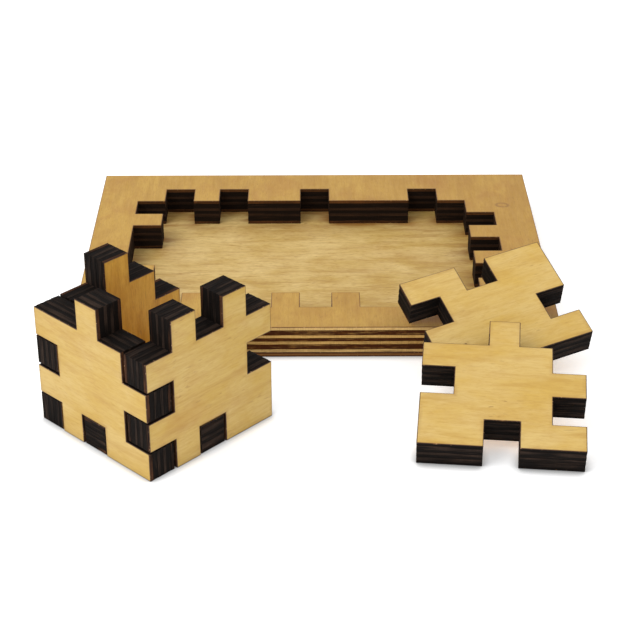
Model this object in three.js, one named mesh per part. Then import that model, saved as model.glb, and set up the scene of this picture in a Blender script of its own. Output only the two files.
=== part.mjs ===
// Wooden six-panel cube puzzle with its flat storage tray.
// Millimetres, +Z up, standing on z = 0. The origin is the centre of the object's bounding box, at its base.
//
// Every panel is a square of 5 x 5 cells: a solid middle of 3 x 3 cells inside a rim of tabs and notches.
// Four panels stand together as a cube that is still open at its top and at its back right side.
// The other two lean on each other and on the tray, whose recess holds all six panels lying flat.

import * as THREE from 'three';

// Driving dimensions
const CELL = 9.5; // pitch of the square grid that every tab and notch follows
const PLY = 9; // thickness of the plywood of the panels and of the tray frame
const BASE = 1.5; // thickness of the thin sheet glued under the tray frame
const CUT = 0.25; // how far a cut edge stands back from its grid line
const RIM = { left: 13.5, right: 13.5, front: 13.1, back: 12.2 }; // tray frame around the recess grid

const PANEL_CELLS = 5;
const PANEL = PANEL_CELLS * CELL;

// Outlines, one letter for each cell, seen from outside: X is wood and a dot is a notch.
const PANEL_A = ['..X..', 'XXXX.', '.XXXX', 'XXXX.', '.X.XX'];
const PANEL_B = ['.X.X.', 'XXXXX', '.XXX.', 'XXXXX', '.X.XX'];
const PANEL_C = ['..X..', '.XXX.', 'XXXXX', '.XXX.', '.X.XX'];
const PANEL_D = ['..X..', 'XXXX.', '.XXXX', 'XXXX.', 'XX.XX'];

// The recess of the tray, back row first: X is open and a dot is the frame's own wood.
const RECESS = [
  '.X.X..X...X..',
  'XXXXXXXXXXXX.',
  '.XXXXXXXXXXXX',
  'XXXXXXXXXXXX.',
  'XXXXXXXXXXXXX',
  'XXXXXXXXXXXX.',
  '.XXXXXXXXXXXX',
  'XXXXXXXXXXXX.',
  'XX.XX.X.XX.XX',
];
const RECESS_WIDTH = RECESS[0].length * CELL;
const RECESS_DEPTH = RECESS.length * CELL;

// Places on the table, measured from the front left corner of the recess grid.
const CUBE = { x: 16, y: -80.5, turn: 46 };
const BACK_LEANER = { x: 117.7, y: -20.9, heading: 2.5, lean: 23.1, spin: 199.4 };
const FRONT_LEANER = { x: 114.9, y: -54.4, heading: -6, lean: 18.1, spin: 0 };

const degrees = THREE.MathUtils.degToRad;

const woods = {
  panel: new THREE.MeshStandardMaterial({ color: 0xd9ab63, roughness: 0.6, metalness: 0 }),
  frame: new THREE.MeshStandardMaterial({ color: 0xc39455, roughness: 0.62, metalness: 0 }),
  base: new THREE.MeshStandardMaterial({ color: 0xc9a765, roughness: 0.65, metalness: 0 }),
};

function isFilled(rows, column, row) {
  return rows[row]?.[column] === 'X';
}

// Directed sides of the filled cells, each walked with the wood on its left.
// They are keyed by the grid corner where they start; row 0 is the far edge, so Y falls as rows rise.
function boundarySides(rows) {
  const sides = new Map();
  const addSide = (fromX, fromY, toX, toY) => sides.set(`${fromX},${fromY}`, [toX, toY]);
  for (let row = 0; row < rows.length; row += 1) {
    const low = rows.length - 1 - row;
    const high = low + 1;
    for (let column = 0; column < rows[row].length; column += 1) {
      if (!isFilled(rows, column, row)) continue;
      if (!isFilled(rows, column, row + 1)) addSide(column, low, column + 1, low);
      if (!isFilled(rows, column + 1, row)) addSide(column + 1, low, column + 1, high);
      if (!isFilled(rows, column, row - 1)) addSide(column + 1, high, column, high);
      if (!isFilled(rows, column - 1, row)) addSide(column, high, column, low);
    }
  }
  return sides;
}

// Grid corners round the filled cells, anticlockwise, with the straight stretches joined.
function gridOutline(rows) {
  const sides = boundarySides(rows);
  const start = [...sides.keys()][0];
  const loop = [];
  let key = start;
  do {
    const point = key.split(',').map(Number);
    loop.push(point);
    key = sides.get(key).join(',');
  } while (key !== start);
  return loop.filter((point, i) => {
    const before = loop[(i + loop.length - 1) % loop.length];
    const after = loop[(i + 1) % loop.length];
    return (point[0] - before[0]) * (after[1] - point[1]) !== (point[1] - before[1]) * (after[0] - point[0]);
  });
}

// The outline in millimetres, with every edge moved by `inset` towards the filled side.
function outlinePoints(rows, inset) {
  const corners = gridOutline(rows);
  return corners.map((corner, i) => {
    const before = corners[(i + corners.length - 1) % corners.length];
    const after = corners[(i + 1) % corners.length];
    const incoming = [Math.sign(corner[0] - before[0]), Math.sign(corner[1] - before[1])];
    const outgoing = [Math.sign(after[0] - corner[0]), Math.sign(after[1] - corner[1])];
    const x = corner[0] * CELL - inset * (incoming[1] + outgoing[1]);
    const y = corner[1] * CELL + inset * (incoming[0] + outgoing[0]);
    return new THREE.Vector2(x, y);
  });
}

// A panel about the middle of its grid, with its outer face at z = 0 and its wood below it.
function panelGeometry(rows) {
  const shape = new THREE.Shape(outlinePoints(rows, CUT));
  const geometry = new THREE.ExtrudeGeometry(shape, { depth: PLY, bevelEnabled: false });
  geometry.translate(-PANEL / 2, -PANEL / 2, -PLY);
  return geometry;
}

function panelMesh(name, rows) {
  const mesh = new THREE.Mesh(panelGeometry(rows), woods.panel);
  mesh.name = name;
  return mesh;
}

// A panel on edge, facing -Y, then turned about +Z. Its lower tabs stand on the table.
function standingPanel(name, rows, x, y, turn) {
  const mesh = panelMesh(name, rows);
  mesh.rotation.x = degrees(90);
  const holder = new THREE.Group();
  holder.add(mesh);
  holder.position.set(x, y, PANEL / 2 - CUT);
  holder.rotation.z = degrees(turn);
  return holder;
}

function bottomPanel() {
  const mesh = panelMesh('cube_bottom_panel', PANEL_C);
  mesh.position.set(PANEL / 2, PANEL / 2, PLY);
  mesh.rotation.z = degrees(90);
  return mesh;
}

// Four panels of the cube about its front vertical edge.
function openCube() {
  const cube = new THREE.Group();
  cube.add(bottomPanel());
  cube.add(standingPanel('cube_left_panel', PANEL_A, 0, PANEL / 2, -90));
  cube.add(standingPanel('cube_right_panel', PANEL_B, PANEL / 2, 0, 0));
  cube.add(standingPanel('cube_back_panel', PANEL_C, PANEL / 2, PANEL, 180));
  cube.position.set(CUBE.x, CUBE.y, 0);
  cube.rotation.z = degrees(CUBE.turn);
  return cube;
}

// A tilted panel whose lowest corner touches the table.
function leaningPanel(name, place) {
  const mesh = panelMesh(name, PANEL_D);
  mesh.rotation.z = degrees(place.spin);
  const tilt = new THREE.Group();
  tilt.rotation.x = degrees(place.lean);
  tilt.add(mesh);
  const holder = new THREE.Group();
  holder.rotation.z = degrees(place.heading);
  holder.add(tilt);
  holder.position.set(place.x, place.y, 0);
  holder.updateMatrixWorld(true);
  holder.position.z = -new THREE.Box3().setFromObject(holder, true).min.z;
  return holder;
}

function trayBase() {
  const width = RECESS_WIDTH + RIM.left + RIM.right;
  const depth = RECESS_DEPTH + RIM.front + RIM.back;
  const mesh = new THREE.Mesh(new THREE.BoxGeometry(width, depth, BASE), woods.base);
  mesh.name = 'tray_base';
  mesh.position.set(width / 2 - RIM.left, depth / 2 - RIM.front, BASE / 2);
  return mesh;
}

function trayFrame() {
  const left = -RIM.left;
  const right = RECESS_WIDTH + RIM.right;
  const front = -RIM.front;
  const back = RECESS_DEPTH + RIM.back;
  const shape = new THREE.Shape([
    new THREE.Vector2(left, front),
    new THREE.Vector2(right, front),
    new THREE.Vector2(right, back),
    new THREE.Vector2(left, back),
  ]);
  shape.holes.push(new THREE.Path(outlinePoints(RECESS, -CUT)));
  const geometry = new THREE.ExtrudeGeometry(shape, { depth: PLY, bevelEnabled: false });
  const mesh = new THREE.Mesh(geometry, woods.frame);
  mesh.name = 'tray_frame';
  mesh.position.z = BASE;
  return mesh;
}

const puzzle = new THREE.Group();
puzzle.add(trayBase());
puzzle.add(trayFrame());
puzzle.add(openCube());
puzzle.add(leaningPanel('loose_back_panel', BACK_LEANER));
puzzle.add(leaningPanel('loose_front_panel', FRONT_LEANER));

const bounds = new THREE.Box3().setFromObject(puzzle, true);
puzzle.position.set(-(bounds.min.x + bounds.max.x) / 2, -(bounds.min.y + bounds.max.y) / 2, 0);

export default puzzle;
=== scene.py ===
"""A six-panel interlocking cube puzzle of laser-cut plywood, with its flat storage tray."""

import bmesh
import bpy
import numpy as np
from mathutils import Matrix, Vector, geometry, noise


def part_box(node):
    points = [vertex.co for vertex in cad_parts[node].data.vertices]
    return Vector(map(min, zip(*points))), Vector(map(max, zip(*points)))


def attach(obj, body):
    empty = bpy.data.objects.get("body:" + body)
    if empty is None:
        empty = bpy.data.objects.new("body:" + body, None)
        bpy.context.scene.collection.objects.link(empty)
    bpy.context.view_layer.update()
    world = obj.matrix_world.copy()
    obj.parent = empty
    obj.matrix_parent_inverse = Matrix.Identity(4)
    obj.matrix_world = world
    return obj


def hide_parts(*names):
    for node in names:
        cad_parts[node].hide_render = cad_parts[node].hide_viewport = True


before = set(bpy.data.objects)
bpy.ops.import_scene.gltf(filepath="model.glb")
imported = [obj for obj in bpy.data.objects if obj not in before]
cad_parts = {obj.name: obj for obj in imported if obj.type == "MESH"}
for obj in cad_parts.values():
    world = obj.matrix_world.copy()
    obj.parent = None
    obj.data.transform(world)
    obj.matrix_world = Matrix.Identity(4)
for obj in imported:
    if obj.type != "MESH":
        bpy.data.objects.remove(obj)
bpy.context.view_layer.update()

MM = 0.001

# Plywood: the share of the thickness that each ply takes, outer face first.
SEVEN_PLIES = (0.131, 0.1875, 0.119, 0.125, 0.119, 0.1875, 0.131)
THREE_PLIES = (0.3, 0.4, 0.3)

# Shape of a laser-cut edge
ARRIS = 0.12 * MM  # bevel where the cut meets a face
SCORCH = 0.12 * MM  # height of the black line just inside the bevel
CHIP_DEPTH = 0.045 * MM  # how far the worn chips along the arrises bite into the wood
CHIP_LEVEL = 0.62  # how rare the chips are: noise above this level
CHIP_PITCH = 900  # chips' noise, in waves per metre
CHIP_RAMP = 0.12  # how much more noise takes a chip to its full depth
CORNER = 0.14 * MM  # radius of the outline's corners
ARC_SHARE = 0.293  # 1 - 1 / sqrt(2), which puts a corner's middle vertex on its arc
GLUE_HALF = 0.075 * MM  # half the width of the groove along a glue line
GLUE_DEPTH = 0.07 * MM
CHAR_RECESS = 0.05 * MM  # end-grain plies burn back by this much
CHAR_ROUGH = 0.035 * MM  # how much further a ply's middle is eaten away in places
CHAR_PITCH = 900  # the noise of those places, in waves per metre
PLY_WANDER = 0.07 * MM  # how far a glue line strays from straight
WANDER_PITCH = 160  # the noise of that straying, in waves per metre
BURNT_TONE, PLAIN_TONE = 0.06, 0.94  # of a cut ply: 0 is charred and 1 is bare wood
PLY_FADE = 0.05  # how much lower a plain ply's tone is for each ply above it
TONE_SPREAD = 0.2  # how far a ply's tone may be from the others'
WALL_STEP = 1.3 * MM  # spacing of the vertices along a cut edge

# Shape of a face
FACE_RINGS = (0.12 * MM, 0.32 * MM, 0.75 * MM, 1.5 * MM, 2.6 * MM)  # insets of the rings round it
FACE_STEP = 3.2 * MM  # spacing of the vertices in its middle
FACE_WAVE = 0.03 * MM  # how far it sags
WAVE_PITCH = 90  # the noise of that sagging, in waves per metre
SHADE_SMOKE_STEP = 1.6 * MM  # spacing of the vertices that carry the painted shade and smoke stain along the recess walls
SHADE_SMOKE_REACH = 4.0 * MM  # how far from the recess wall the painted shade and smoke stain fade

# The knot in the tray frame's face: its place along the grain and across it, and its radius, in metres
KNOTS = ((0.0300, -0.0654, 0.0017),)

# Seeds of the tray's two boards
FRAME_SEED = 61.5
SHEET_SEED = 101.5

# Stage
FLOOR_HALF = 3.0  # half the floor's side, in metres
FLOOR_GAP = 0.02 * MM  # how far the floor lies under the object
SHADE_REACH = 3 * MM  # how far the contact shade spreads
FLOOR_GLOW = 0.36
PAPER = (0.92, 0.92, 0.92, 1)
WORLD_LIGHT = 0.96
KEY_PLACE, KEY_AIM = (-0.75, -0.55, 1.0), (0, 0, 0)
KEY_SIZE, KEY_POWER = 0.7, 6.8
SENSOR, LENS = 36.0, 100.48

# Camera: its place from the tray frame's lowest corner, and where it looks
CAMERA_FROM_TRAY = Vector((0.073244, -0.463843, 0.275066))
CAMERA_FORWARD = Vector((0.00182, 0.87159, -0.49022))
CAMERA_RIGHT = Vector((0.99999, -0.00321, -0.002))

# Directions that tell each board's outer face and the way its face grain runs
LEFT = Vector((-0.695, -0.719, 0))
RIGHT = Vector((0.719, -0.695, 0))
UP = Vector((0, 0, 1))
ACROSS = Vector((1, 0, 0))
AWAY = Vector((0, 1, 0))
SLANTED = Vector((0.96, 0.28, 0))


def srgb(red, green, blue):
    """A display colour of 0 to 255 as the linear colour that shaders take."""
    def linear(value):
        value /= 255
        return value / 12.92 if value <= 0.04045 else ((value + 0.055) / 1.055) ** 2.4
    return (linear(red), linear(green), linear(blue), 1)


# ---------------------------------------------------------------- boards

class Board:
    """A CAD board's own frame and outline: u along the face grain, v across it, w out of the outer face."""

    def __init__(self, node, outer, along):
        bm = bmesh.new()
        bm.from_mesh(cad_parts[node].data)
        bmesh.ops.remove_doubles(bm, verts=bm.verts, dist=0.01 * MM)
        bm.normal_update()
        self.node = node
        self.w = max((f.normal for f in bm.faces), key=lambda n: n.dot(outer)).copy()
        walls = [f.normal for f in bm.faces if abs(f.normal.dot(self.w)) < 0.01]
        self.v = self.w.cross(max(walls, key=lambda n: n.dot(along))).normalized()
        self.u = self.v.cross(self.w)
        depths = [v.co.dot(self.w) for v in bm.verts]
        self.top = max(depths)
        self.thickness = self.top - min(depths)
        points = np.array([self.flat(v) for v in bm.verts])
        self.middle = (points.min(0) + points.max(0)) / 2
        self.loops = self.outline([f for f in bm.faces if f.normal.dot(self.w) > 0.999])
        bm.free()

    def flat(self, vert):
        return vert.co.dot(self.u), vert.co.dot(self.v)

    def outline(self, faces):
        """The outer face's edge loops in (u, v) about its middle, walked with the wood on the left."""
        onward = {}
        for face in faces:
            for loop in face.loops:
                if sum(f in faces for f in loop.edge.link_faces) == 1:
                    onward[loop.vert] = loop.link_loop_next.vert
        loops = []
        while onward:
            start = next(iter(onward))
            walk, vert = [], start
            while vert in onward:
                walk.append(self.flat(vert))
                vert = onward.pop(vert)
            loops.append(corners_only(np.round(np.array(walk) - self.middle, 6)))
        return loops

    def place(self, points, depths):
        """Row-frame places of (u, v) points at depths below the outer face."""
        flat = (points + self.middle) @ np.array([self.u, self.v])
        return flat + np.outer(self.top - depths, np.array(self.w))


def corners_only(loop):
    before = loop - np.roll(loop, 1, 0)
    after = np.roll(loop, -1, 0) - loop
    turn = before[:, 0] * after[:, 1] - before[:, 1] * after[:, 0]
    return loop[np.abs(turn) > 1e-9]


class Ring:
    """A loop sampled along its edges, so that it can be drawn again at any inset into the wood."""

    def __init__(self, loop):
        step = np.roll(loop, -1, 0) - loop
        length = np.linalg.norm(step, axis=1)
        along = step / length[:, None]
        left = np.stack([-along[:, 1], along[:, 0]], 1)
        base, slide = [], []
        for i in range(len(loop)):
            j = (i + 1) % len(loop)
            mitre, next_mitre = left[i - 1] + left[i], left[i] + left[j]
            bend = along[i] - along[i - 1]
            base += [loop[i] - CORNER * along[i - 1], loop[i] + ARC_SHARE * CORNER * bend]
            slide += [mitre, mitre]
            start, end = loop[i] + CORNER * along[i], loop[j] - CORNER * along[i]
            count = max(1, round(length[i] / WALL_STEP))
            for k in range(count):
                t = k / count
                base.append(start * (1 - t) + end * t)
                slide.append(mitre * (1 - t) + next_mitre * t)
        self.base, self.slide = np.array(base), np.array(slide)
        self.count = len(base)
        ahead = np.roll(self.base, -1, 0) - np.roll(self.base, 1, 0)
        self.runs_u = np.abs(ahead[:, 0]) > np.abs(ahead[:, 1])

    def at(self, inset):
        """The ring moved into the wood by one inset, or by one inset for each point."""
        return self.base + self.slide * np.reshape(inset, (-1, 1))


def wobble(points, depth, frequency, seed):
    """Smooth noise from -1 to 1 at (u, v, depth) places."""
    return np.array([
        noise.noise(Vector((p[0] * frequency + seed, p[1] * frequency - seed, depth * frequency + 7 * seed)))
        for p in points
    ])


def chips(ring, seed):
    """Where the arris is chipped, from 0 to 1 along the ring."""
    return np.clip((wobble(ring.base, 0, CHIP_PITCH, seed + 31.7) - CHIP_LEVEL) / CHIP_RAMP, 0, 1)


class Shell:
    """Collects a board's vertices, their attributes and its faces.

    grain is the place along the grain, across it and up towards the outer face, in metres. cut is in
    millimetres: how far in from the outline on a face, or minus how far from the nearer face on a cut
    edge. tone is how plain a cut ply is. At an arris it is twice how chipped it is, and in the middle of
    a face it is minus how dark the painted shade and smoke stain beside the recess walls are."""

    def __init__(self, board):
        self.board = board
        self.points, self.grain, self.cut, self.tone = [], [], [], []
        self.faces, self.slots = [], []
        self.size = 0

    def add(self, flat, depths, cut, tone):
        first = self.size
        depths = np.broadcast_to(depths, len(flat))
        self.points.append(self.board.place(flat, depths))
        self.grain.append(np.column_stack([flat, -depths]))
        self.cut.append(np.broadcast_to(cut, len(flat)))
        self.tone.append(np.broadcast_to(tone, len(flat)))
        self.size += len(flat)
        return first

    def bridge(self, upper, lower, count, slot):
        """Quads between two rings of count vertices, facing away from the wood."""
        for i in range(count):
            j = (i + 1) % count
            self.faces.append((upper + i, lower + i, lower + j, upper + j))
            self.slots.append(slot)

    def mesh(self, name, materials):
        mesh = bpy.data.meshes.new(name)
        mesh.from_pydata(np.concatenate(self.points).tolist(), [], self.faces)
        mesh.polygons.foreach_set("material_index", self.slots)
        grain = mesh.attributes.new("grain", "FLOAT_VECTOR", "POINT")
        grain.data.foreach_set("vector", np.concatenate(self.grain).astype(np.float32).ravel())
        for key, values in (("cut", self.cut), ("tone", self.tone)):
            attribute = mesh.attributes.new(key, "FLOAT", "POINT")
            attribute.data.foreach_set("value", np.concatenate(values).astype(np.float32))
        for material in materials:
            mesh.materials.append(material)
        mesh.polygons.foreach_set("use_smooth", [True] * len(mesh.polygons))
        mesh.set_sharp_from_angle(angle=0.6)
        mesh.validate()
        mesh.update()
        return mesh


def wall_rows(thickness, plies):
    """(depth, ply, kind, line) of each row of vertices down a cut edge; line is the nearest glue line."""
    edges = np.concatenate([[0], np.cumsum(plies)]) / sum(plies) * thickness
    last = len(plies) - 1
    rows = [(ARRIS, 0, "arris", 0)]
    for k in range(len(plies)):
        upper = ARRIS + SCORCH if k == 0 else edges[k] + GLUE_HALF
        lower = thickness - ARRIS - SCORCH if k == last else edges[k + 1] - GLUE_HALF
        rows += [(upper, k, "rim", k), ((upper + lower) / 2, k, "belly", k), (lower, k, "rim", k + 1)]
        if k < last:
            rows.append((edges[k + 1], k, "glue", k + 1))
    return rows + [(thickness - ARRIS, last, "arris", last + 1)]


def build_wall(shell, ring, plies, slot, seed):
    """The cut edge: plies burnt back by turns, with grooves along the wandering glue lines."""
    thickness = shell.board.thickness
    starts = []
    for depth, ply, kind, line in wall_rows(thickness, plies):
        burnt = (ply % 2 == 1) != ring.runs_u
        inset = np.where(burnt, CHAR_RECESS, 0.0)
        tone = np.where(burnt, BURNT_TONE, PLAIN_TONE - PLY_FADE * ply)
        tone = tone + TONE_SPREAD * noise.noise((seed, 1.37 * ply, 0.5))
        wander = 0.0
        if 0 < line < len(plies):
            wander = PLY_WANDER * wobble(ring.base, 0, WANDER_PITCH, seed + 3.1 * line)
        if kind == "glue":
            inset, tone = CHAR_RECESS + GLUE_DEPTH, 0.0
        if kind == "belly":
            inset = inset + CHAR_ROUGH * (0.5 + 0.5 * wobble(ring.base, depth, CHAR_PITCH, seed + ply))
            wander = 0.0
        if kind == "arris":
            chipped = chips(ring, seed + line)
            inset, tone = 0.0, 2 * chipped
            wander = CHIP_DEPTH * chipped * (1 if line == 0 else -1)
        cut = -np.minimum(depth, thickness - depth) / MM
        starts.append(shell.add(ring.at(inset), depth + wander, cut, tone))
    for upper, lower in zip(starts, starts[1:]):
        shell.bridge(upper, lower, ring.count, slot)
    return starts[0], starts[-1]


def inside(points, loops):
    """Which points have the wood round them, by counting the outline's crossings."""
    hit = np.zeros(len(points), bool)
    for loop in loops:
        for a, b in zip(loop, np.roll(loop, -1, 0)):
            level = (a[1] > points[:, 1]) != (b[1] > points[:, 1])
            with np.errstate(divide="ignore", invalid="ignore"):
                x = a[0] + (points[:, 1] - a[1]) / (b[1] - a[1]) * (b[0] - a[0])
            hit ^= level & (points[:, 0] < x)
    return hit


def inner_points(loops, spacing):
    """A staggered grid of points that lie inside the loops and clear of them."""
    low, high = np.concatenate(loops).min(0), np.concatenate(loops).max(0)
    grid = []
    for row, v in enumerate(np.arange(low[1], high[1], spacing)):
        shift = spacing / 2 * (row % 2)
        grid += [(u, v) for u in np.arange(low[0] + shift, high[0], spacing)]
    grid = np.array(grid)
    grid = grid[inside(grid, loops)]
    near = np.zeros(len(grid), bool)
    for loop in loops:
        near |= (np.linalg.norm(grid[:, None] - loop[None], axis=2) < 0.55 * spacing).any(1)
    return grid[~near]


def build_face(shell, rings, arrises, depth, sign, slot, seed, shade_and_smoke=None):
    """One face of the board, in narrowing rings and then a triangulated middle.

    shade_and_smoke gives how dark the painted shade and smoke stain are at each place in the middle, from 0
    to 1."""
    innermost = []
    for ring, arris in zip(rings, arrises):
        upper = arris
        chipped = chips(ring, seed)
        for inset in FACE_RINGS:
            flat = ring.at(inset + CHIP_DEPTH * chipped)
            start = shell.add(flat, depth, inset / MM, 2 * chipped)
            chipped = np.zeros(ring.count)
            if sign > 0:
                shell.bridge(start, upper, ring.count, slot)
            else:
                shell.bridge(upper, start, ring.count, slot)
            upper = start
        innermost.append((upper, flat))
    loops = [flat for _, flat in innermost]
    middle = inner_points(loops, SHADE_SMOKE_STEP if shade_and_smoke else FACE_STEP)
    lift = FACE_WAVE * (0.5 + 0.5 * wobble(middle, depth, WAVE_PITCH, seed))
    # painted shade and smoke stain near the recess walls, carried as a negative tone
    shade_smoke_share = -shade_and_smoke(shell.board.place(middle, np.zeros(len(middle)))) if shade_and_smoke else 0.0
    start = shell.add(middle, depth + sign * lift, FACE_RINGS[-1] / MM + 1, shade_smoke_share)
    indices = np.concatenate([np.arange(s, s + len(f)) for s, f in innermost]
                             + [np.arange(start, start + len(middle))])
    places = np.concatenate(loops + [middle])
    edges, first = [], 0
    for flat in loops:
        edges += [(first + i, first + (i + 1) % len(flat)) for i in range(len(flat))]
        first += len(flat)
    made = geometry.delaunay_2d_cdt([Vector(p) for p in places / MM], edges, [], 0, 1e-5, True)
    origin = [sources[0] for sources in made[3]]
    triangles = np.array([[origin[i] for i in face] for face in made[2]])
    triangles = triangles[inside(places[triangles].mean(1), loops)]
    for a, b, c in indices[triangles]:
        shell.faces.append((a, b, c) if sign > 0 else (a, c, b))
        shell.slots.append(slot)


def build_board(name, board, plies, materials, wall_slots, seed, shade_and_smoke=None):
    """materials: face, back and cut-edge materials. wall_slots: the material of each outline loop's wall."""
    shell = Shell(board)
    rings = [Ring(loop) for loop in board.loops]
    walls = [build_wall(shell, ring, plies, slot, seed) for ring, slot in zip(rings, wall_slots)]
    build_face(shell, rings, [w[0] for w in walls], 0.0, 1, 0, seed, shade_and_smoke)
    build_face(shell, rings, [w[1] for w in walls], board.thickness, -1, 1, seed + len(plies))
    piece = bpy.data.objects.new(name, shell.mesh(name, materials))
    bpy.context.scene.collection.objects.link(piece)
    return piece


# ---------------------------------------------------------------- materials

class Tree:
    """A material's node tree, with short calls for the nodes that the woods use."""

    def __init__(self, name):
        self.material = bpy.data.materials.new(name)
        self.material.use_nodes = True
        self.tree = self.material.node_tree
        self.shader = self.tree.nodes["Principled BSDF"]

    def put(self, socket, value):
        if isinstance(value, bpy.types.NodeSocket):
            self.tree.links.new(value, socket)
        else:
            socket.default_value = value

    def node(self, kind, inputs=None, **settings):
        made = self.tree.nodes.new("ShaderNode" + kind)
        for key, value in settings.items():
            setattr(made, key, value)
        for key, value in (inputs or {}).items():
            self.put(made.inputs[key], value)
        return made

    def attribute(self, name):
        made = self.node("Attribute", attribute_name=name)
        return made.outputs["Vector"] if name == "grain" else made.outputs["Fac"]

    def stretched(self, vector, scale, shift):
        made = self.node("VectorMath", {0: vector, 1: scale, 2: (shift, 1.7 * shift, 0.6 * shift)},
                         operation="MULTIPLY_ADD")
        return made.outputs[0]

    def noise(self, vector, scale, shift, detail=3.0, roughness=0.55, distortion=0.0):
        made = self.node("TexNoise", {
            "Vector": self.stretched(vector, scale, shift), "Scale": 1.0, "Detail": detail,
            "Roughness": roughness, "Distortion": distortion})
        return made.outputs["Fac"]

    def span(self, value, low, high, to_low=0.0, to_high=1.0):
        made = self.node("MapRange", {
            "Value": value, "From Min": low, "From Max": high, "To Min": to_low, "To Max": to_high})
        return made.outputs["Result"]

    def math(self, operation, a, b):
        return self.node("Math", {0: a, 1: b}, operation=operation).outputs[0]

    def mix(self, share, a, b, blend="MIX"):
        made = self.node("Mix", data_type="RGBA", blend_type=blend)
        self.put(made.inputs[0], share)
        self.put(made.inputs[6], a)
        self.put(made.inputs[7], b)
        return made.outputs[2]

    def bump(self, height, distance, strength):
        made = self.node("Bump", {"Height": height, "Distance": distance, "Strength": strength})
        return made.outputs["Normal"]

    def finish(self, colour, roughness, normal, shine):
        self.shader.inputs["Specular IOR Level"].default_value = shine
        self.put(self.shader.inputs["Base Color"], colour)
        self.put(self.shader.inputs["Roughness"], roughness)
        if normal:
            self.put(self.shader.inputs["Normal"], normal)
        return self.material


# Colours that the woods share
SCORCHED = srgb(62, 32, 13)  # the line along the outline of a face
TOASTED = srgb(116, 78, 34)  # the same line on the tray frame
ARRIS_GLINT = srgb(190, 148, 104)  # painted highlight: bright specks along an arris
SMUDGE = srgb(156, 98, 42)
FLECK = srgb(132, 90, 42)
HAZE = srgb(132, 82, 34)
# painted shade beside the recess walls, partly smoke stain
SHADE_SMOKE_BROWN = srgb(142, 90, 36)
FACE_CHIP = srgb(140, 98, 54)
EDGE_CHIP = srgb(150, 104, 58)
KNOT_CORE = srgb(150, 96, 44)
KNOT_RING = srgb(112, 70, 30)

FACE_SHINE, CUT_SHINE = 0.35, 0.07  # specular levels
BUMP_FACE = 0.05 * MM
BUMP_CUT = 0.06 * MM


def add_knot(t, grain, colour, warp, u, v, radius):
    """A faint knot: a darker spot inside a thin brown ring, both bent by the warp noise."""
    offset = t.node("VectorMath", {0: grain, 1: (u, v, 0)}, operation="SUBTRACT").outputs[0]
    scaled = t.stretched(offset, (1 / radius, 0.8 / radius, 0), 0)
    away = t.node("VectorMath", {0: scaled}, operation="LENGTH").outputs["Value"]
    away = t.math("ADD", away, t.span(warp, 0.3, 0.7, -0.25, 0.25))
    ring = t.math("MULTIPLY", t.span(away, 0.55, 0.95), t.span(away, 1.35, 1.0))
    colour = t.mix(t.span(away, 1.5, 0.3, 0.0, 0.22), colour, KNOT_CORE)
    return t.mix(t.math("MULTIPLY", ring, 0.5), colour, KNOT_RING)


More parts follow.
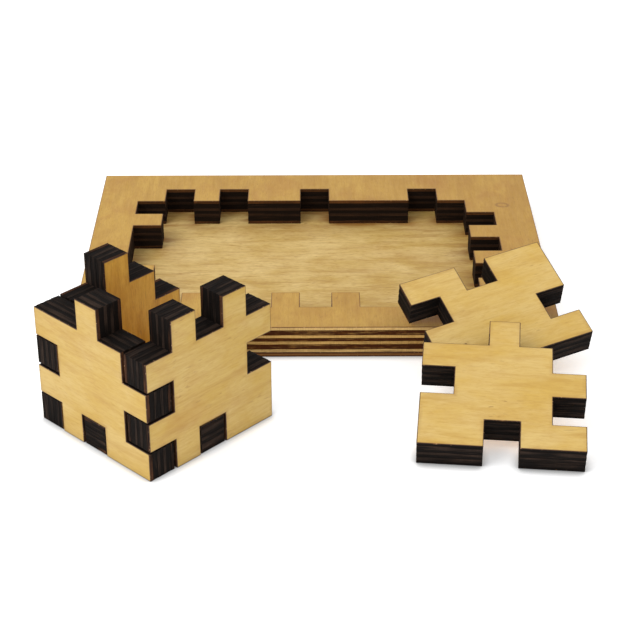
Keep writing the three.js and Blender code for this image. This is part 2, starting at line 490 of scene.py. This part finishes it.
def face_wood(name, seed, tones, scorch=SCORCHED, figure=1.0, pores=1.0, flecks=1.0, blotches=0.3,
              smoke=1.0, knots=(), painted_light_slope=(0, 0, 0), fineness=1.0):
    """A sanded veneer: long figure, pores, flecks, smoke and a scorched outline with worn chips.

    painted_light_slope points to the side of the board that is painted paler, as painted light falling from
    that side. Its length is about one over half the board's size in metres. Where the tone attribute is
    above 0 the wood is chipped, and below 0 it is painted darker brown beside the recess walls: painted
    shade, partly smoke stain."""
    light, mid, dark = tones
    t = Tree(name)
    grain, cut, chip_and_wall_shade = t.attribute("grain"), t.attribute("cut"), t.attribute("tone")
    clouds = t.noise(grain, (60, 110, 5), seed, 4, 0.6, 0.4)
    # painted light: the wood is painted paler towards painted_light_slope, as if lit from that side
    side = t.node("VectorMath", {0: grain, 1: painted_light_slope}, operation="DOT_PRODUCT").outputs["Value"]
    clouds = t.math("ADD", clouds, t.span(side, -1, 1, -0.13, 0.13))
    waves = t.noise(grain, (32 * fineness, 300 * fineness, 5), seed + 3.3, 4, 0.6, 0.9)
    fine = t.noise(grain, (110 * fineness, 1200 * fineness, 5), seed + 5.1, 4, 0.6, 0.9)
    pore = t.noise(grain, (520, 2700, 5), seed + 6.4, 2)
    colour = t.mix(t.span(clouds, 0.34, 0.66), mid, light)
    colour = t.mix(t.span(waves, 0.46, 0.28, 0.0, 0.5 * figure), colour, light)
    colour = t.mix(t.span(waves, 0.5, 0.76, 0.0, 0.6 * figure), colour, dark)
    colour = t.mix(t.span(fine, 0.35, 0.75, 0.0, 0.32 * figure), colour, dark)
    colour = t.mix(t.span(pore, 0.5, 0.72, 0.0, 0.32 * pores), colour, dark)
    smudge = t.noise(grain, (72, 95, 5), seed + 14.2, 4, 0.6, 0.5)
    colour = t.mix(t.span(smudge, 0.5, 0.74, 0.0, 0.45 * blotches), colour, SMUDGE)
    dashes = t.noise(grain, (330, 1700, 5), seed + 8.2, 2, 0.5)
    sparse = t.noise(grain, (70, 100, 5), seed + 9.9, 2)
    fleck = t.math("MULTIPLY", t.span(dashes, 0.62, 0.74), t.span(sparse, 0.46, 0.62, 0.0, 0.6 * flecks))
    colour = t.mix(fleck, colour, FLECK)
    for knot in knots:
        colour = add_knot(t, grain, colour, smudge, *knot)
    haze_noise = t.noise(grain, (130, 130, 5), seed + 12.5, 3)
    haze = t.math("MULTIPLY", t.span(cut, 1.4, 0.2), t.span(haze_noise, 0.42, 0.78, 0.0, 0.5 * smoke))
    colour = t.mix(haze, colour, HAZE)
    streaks = t.noise(grain, (60, 260, 5), seed + 16.6, 3)
    # painted shade: brown darkening that fades away from the recess walls, partly smoke stain
    shade_and_smoke = t.math("MULTIPLY", t.span(chip_and_wall_shade, 0.0, -1.0), t.span(streaks, 0.38, 0.6, 0.1, 0.9))
    colour = t.mix(shade_and_smoke, colour, SHADE_SMOKE_BROWN)
    ragged = t.math("ADD", cut, t.span(haze_noise, 0.2, 0.8, -0.08, 0.08))
    colour = t.mix(t.span(ragged, 0.32, 0.12), colour, scorch)
    colour = t.mix(t.span(chip_and_wall_shade, 0.1, 1.0, 0.0, 0.7), colour, FACE_CHIP)
    # painted highlight: bright specks just inside the arris
    specks = t.noise(grain, (2200, 2200, 2200), seed, 1)
    glint = t.math("MULTIPLY", t.span(cut, 0.2, 0.08), t.span(specks, 0.66, 0.74))
    colour = t.mix(glint, colour, ARRIS_GLINT)
    rough = t.span(fine, 0.3, 0.7, 0.46, 0.6)
    height = t.math("ADD", t.math("MULTIPLY", fine, 0.7), t.math("MULTIPLY", pore, -0.5))
    return t.finish(colour, rough, t.bump(height, BUMP_FACE, 0.6), FACE_SHINE)


def cut_wood(name, seed, burnt, plain, line, ash, outer, fading=0.0):
    """A cut edge: burnt and plain plies by turns, streaked along the ply, with the laser's ridges.

    outer is the colour of a plain ply beside a face. fading is how far the plain plies char over in
    places."""
    t = Tree(name)
    grain, tone, cut = t.attribute("grain"), t.attribute("tone"), t.attribute("cut")
    streak = t.noise(grain, (90, 90, 2000), seed, 4, 0.65)
    patch = t.noise(grain, (420, 420, 1300), seed + 2.2, 3, 0.6)
    reach = t.noise(grain, (85, 85, 420), seed + 3.1, 2)
    ridges = t.noise(grain, (2600, 2600, 140), seed + 4.4, 2, 0.6)
    share = t.math("MULTIPLY", tone, t.span(reach, 0.38, 0.62, 1.0 - fading, 1.0))
    share = t.math("ADD", share, t.span(streak, 0.25, 0.75, -0.42, 0.42))
    share = t.math("ADD", share, t.span(patch, 0.25, 0.75, -0.16, 0.16))
    plain = t.mix(t.span(cut, -1.35, -1.05), plain, outer)
    colour = t.mix(t.span(share, 0.1, 1.0), burnt, plain)
    colour = t.mix(t.span(patch, 0.52, 0.76, 0.0, 0.5), colour, line)
    colour = t.mix(t.span(streak, 0.6, 0.8, 0.0, 0.4), colour, ash)
    colour = t.mix(t.span(ridges, 0.35, 0.75, 0.0, 0.25), colour, burnt)
    chipped = t.math("MULTIPLY", t.span(cut, -0.35, -0.1), t.span(tone, 1.1, 1.7))
    colour = t.mix(chipped, colour, EDGE_CHIP)
    # painted highlight: bright specks just below the arris
    specks = t.noise(grain, (1900, 1900, 1900), seed, 1)
    glint = t.math("MULTIPLY", t.span(cut, -0.45, -0.2), t.span(specks, 0.68, 0.76))
    colour = t.mix(glint, colour, ARRIS_GLINT)
    rough = t.span(patch, 0.3, 0.7, 0.7, 0.9)
    height = t.math("ADD", t.math("MULTIPLY", ridges, 0.6), streak)
    return t.finish(colour, rough, t.bump(height, BUMP_CUT, 0.8), CUT_SHINE)


CUBE_TONES = (srgb(197, 168, 101), srgb(189, 155, 73), srgb(167, 127, 54))
LOOSE_TONES = (srgb(210, 180, 111), srgb(202, 166, 82), srgb(178, 136, 60))
# painted shade: the back faces get a deeper orange that stands in for the warm shade inside the cube
SHADED_BACK_TONES = (srgb(214, 167, 64), srgb(199, 147, 43), srgb(156, 99, 20))
FRAME_TONES = (srgb(191, 151, 67), srgb(175, 133, 55), srgb(150, 106, 41))
FLOOR_TONES = (srgb(216, 187, 122), srgb(192, 158, 82), srgb(158, 118, 50))


def charred_edge(name, seed):
    return cut_wood(name, seed, srgb(17, 13, 11), srgb(54, 42, 35), srgb(20, 14, 11), srgb(90, 66, 51),
                    srgb(82, 52, 34), fading=0.85)


def recess_edge(name, seed):
    return cut_wood(name, seed, srgb(24, 16, 11), srgb(56, 38, 26), srgb(24, 15, 10), srgb(66, 44, 30),
                    srgb(96, 60, 30), fading=0.35)


def sawn_edge(name, seed):
    return cut_wood(name, seed, srgb(58, 26, 4), srgb(198, 158, 92), srgb(112, 66, 20), srgb(160, 108, 50),
                    srgb(216, 179, 114))


def sheet_edge(name, seed):
    return cut_wood(name, seed, srgb(82, 50, 22), srgb(126, 84, 46), srgb(74, 44, 20), srgb(110, 80, 52),
                    srgb(126, 84, 46))


# ---------------------------------------------------------------- pieces

def finish_piece(piece, node, body):
    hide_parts(node)
    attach(piece, body)


def make_panel(node, body, outer, along, seed, face, back, **looks):
    board = Board(node, outer, along)
    woods = (
        face_wood(node + "_face", seed, face, **looks),
        face_wood(node + "_back", seed + 20.5, back, **looks),
        charred_edge(node + "_edge", seed + 40.25),
    )
    piece = build_board(node + "_board", board, SEVEN_PLIES, woods, [2], seed)
    finish_piece(piece, node, body)


def make_tray_frame():
    board = Board("tray_frame", UP, AWAY)
    looks = {"scorch": TOASTED, "figure": 0.6, "pores": 0.95, "flecks": 0.8, "blotches": 0.8, "smoke": 0.6}
    woods = (
        # painted light: the frame's face is painted paler on its left, the lit side
        face_wood("tray_frame_face", FRAME_SEED, FRAME_TONES, knots=KNOTS, painted_light_slope=(0, 13, 0), **looks),
        face_wood("tray_frame_back", FRAME_SEED + 10, FRAME_TONES, **looks),
        recess_edge("tray_frame_recess", FRAME_SEED + 20),
        sawn_edge("tray_frame_rim", FRAME_SEED + 30),
    )
    widths = [np.ptp(loop[:, 0]) for loop in board.loops]
    slots = [3 if width == max(widths) else 2 for width in widths]
    piece = build_board("tray_frame_board", board, SEVEN_PLIES, woods, slots, FRAME_SEED)
    finish_piece(piece, "tray_frame", "tray")


def closeness(walls, points):
    """How close each point is to the nearest of the walls' segments, from 1 at a wall down to 0."""
    nearest = np.full(len(points), np.inf)
    for start, end in zip(walls, np.roll(walls, -1, 0)):
        along = end - start
        t = np.clip((points - start) @ along / (along @ along), 0, 1)
        nearest = np.minimum(nearest, np.linalg.norm(points - start - t[:, None] * along, axis=1))
    return np.exp(-nearest / SHADE_SMOKE_REACH)


def make_tray_base():
    """The thin sheet, whose face is painted darker brown along the walls of the frame's recess: painted
    shade, partly smoke stain.
    """
    board = Board("tray_base", UP, ACROSS)
    above = Board("tray_frame", UP, AWAY)
    recess = min(above.loops, key=lambda loop: np.ptp(loop[:, 0]))
    walls = above.place(recess, np.zeros(len(recess)))[:, :2]
    looks = {"figure": 1.1, "pores": 1.6, "flecks": 0.9, "blotches": 0.3, "fineness": 1.7}
    woods = (
        # painted light: the sheet's face is painted paler towards its left and back
        face_wood("tray_floor_face", SHEET_SEED, FLOOR_TONES, smoke=0.0, painted_light_slope=(-12, 15, 0), **looks),
        face_wood("tray_floor_back", SHEET_SEED + 10, FLOOR_TONES, smoke=0.3, **looks),
        sheet_edge("tray_floor_rim", SHEET_SEED + 20),
    )
    piece = build_board("tray_base_board", board, THREE_PLIES, woods, [2], SHEET_SEED,
                        lambda points: closeness(walls, np.array(points)[:, :2]))
    finish_piece(piece, "tray_base", "tray")


# ---------------------------------------------------------------- stage

def make_floor():
    """A pale sheet that glows a little and darkens close to what stands on it, for short soft shadows."""
    mesh = bpy.data.meshes.new("floor")
    side = FLOOR_HALF
    corners = [(-side, -side, 0), (side, -side, 0), (side, side, 0), (-side, side, 0)]
    mesh.from_pydata(corners, [], [(0, 1, 2, 3)])
    floor = bpy.data.objects.new("floor", mesh)
    floor.location.z = -FLOOR_GAP
    bpy.context.scene.collection.objects.link(floor)
    t = Tree("floor_paper")
    contact = t.node("AmbientOcclusion", {"Color": (1, 1, 1, 1), "Distance": SHADE_REACH}, samples=24)
    t.put(t.shader.inputs["Emission Color"], contact.outputs["Color"])
    t.shader.inputs["Emission Strength"].default_value = FLOOR_GLOW
    paper = t.mix(1.0, contact.outputs["Color"], PAPER, "MULTIPLY")
    material = t.finish(paper, 0.9, None, 0.1)
    mesh.materials.append(material)


def make_world(strength):
    world = bpy.data.worlds.new("studio")
    world.use_nodes = True
    background = world.node_tree.nodes["Background"]
    background.inputs["Color"].default_value = (1, 1, 1, 1)
    background.inputs["Strength"].default_value = strength
    bpy.context.scene.world = world


def make_softbox(name, place, aim, size, power):
    data = bpy.data.lights.new(name, "AREA")
    data.shape, data.size, data.energy = "SQUARE", size, power
    light = bpy.data.objects.new(name, data)
    light.location = place
    light.rotation_euler = (Vector(aim) - Vector(place)).to_track_quat("-Z", "Y").to_euler()
    bpy.context.scene.collection.objects.link(light)


def make_camera():
    data = bpy.data.cameras.new("camera")
    data.sensor_width, data.lens = SENSOR, LENS
    data.clip_start, data.clip_end = 0.01, 20.0
    camera = bpy.data.objects.new("camera", data)
    place = Vector(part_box("tray_frame")[0]) + CAMERA_FROM_TRAY
    forward = CAMERA_FORWARD.normalized()
    up = CAMERA_RIGHT.cross(forward).normalized()
    right = forward.cross(up)
    camera.matrix_world = Matrix((
        (right.x, up.x, -forward.x, place.x),
        (right.y, up.y, -forward.y, place.y),
        (right.z, up.z, -forward.z, place.z),
        (0, 0, 0, 1)))
    bpy.context.scene.collection.objects.link(camera)
    bpy.context.scene.camera = camera


scene = bpy.context.scene
scene.view_settings.view_transform = "Standard"
scene.view_settings.look = "None"

make_camera()
make_floor()
make_world(WORLD_LIGHT)
make_softbox("key", KEY_PLACE, KEY_AIM, KEY_SIZE, KEY_POWER)

make_tray_base()
make_tray_frame()
make_panel("cube_left_panel", "left_panel", LEFT, RIGHT, 1.3, CUBE_TONES, SHADED_BACK_TONES,
           flecks=0.4, figure=0.8)
make_panel("cube_right_panel", "right_panel", RIGHT, LEFT, 2.6, CUBE_TONES, SHADED_BACK_TONES, blotches=0.6)
make_panel("cube_back_panel", "back_panel", -RIGHT, UP, 3.9, CUBE_TONES, SHADED_BACK_TONES)
make_panel("cube_bottom_panel", "bottom_panel", -UP, LEFT, 5.2, CUBE_TONES, SHADED_BACK_TONES)
make_panel("loose_back_panel", "loose_back", UP, SLANTED, 6.5, LOOSE_TONES, SHADED_BACK_TONES, flecks=0.5)
make_panel("loose_front_panel", "loose_front", UP, ACROSS, 7.8, LOOSE_TONES, SHADED_BACK_TONES)
